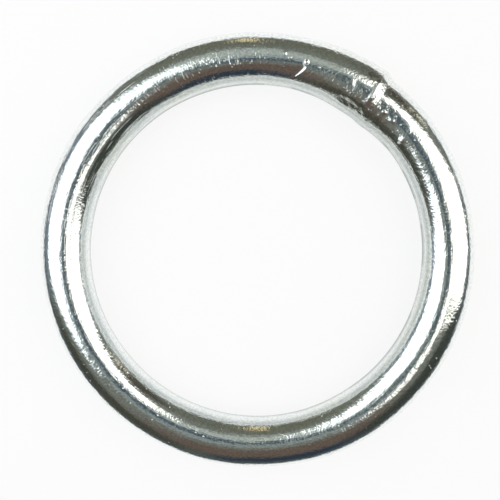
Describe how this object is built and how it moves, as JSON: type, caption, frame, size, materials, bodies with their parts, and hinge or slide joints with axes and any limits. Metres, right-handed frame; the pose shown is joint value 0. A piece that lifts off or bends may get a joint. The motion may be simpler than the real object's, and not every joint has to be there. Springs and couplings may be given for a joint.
{
  "type": "welded ring",
  "caption": "Round steel ring of plain wire, butt-welded shut, with a low swelling and flash rib at the weld. Links, straps or cords pass through its open eye.",
  "frame": {"origin": "centre of the ring's eye, level with the wire's centreline", "axes": "+Z along the ring's axis, out of the pictured side; +Y is up in the picture and +X right; the weld lies between +X and +Y"},
  "size_m": [0.052, 0.052, 0.0068],
  "materials": {
    "zinc_plated_steel": "bright zinc plate, smooth and finely grained, duller on the weld"
  },
  "bodies": {
    "root": {"ring": "zinc_plated_steel"}
  },
  "joints": []
}
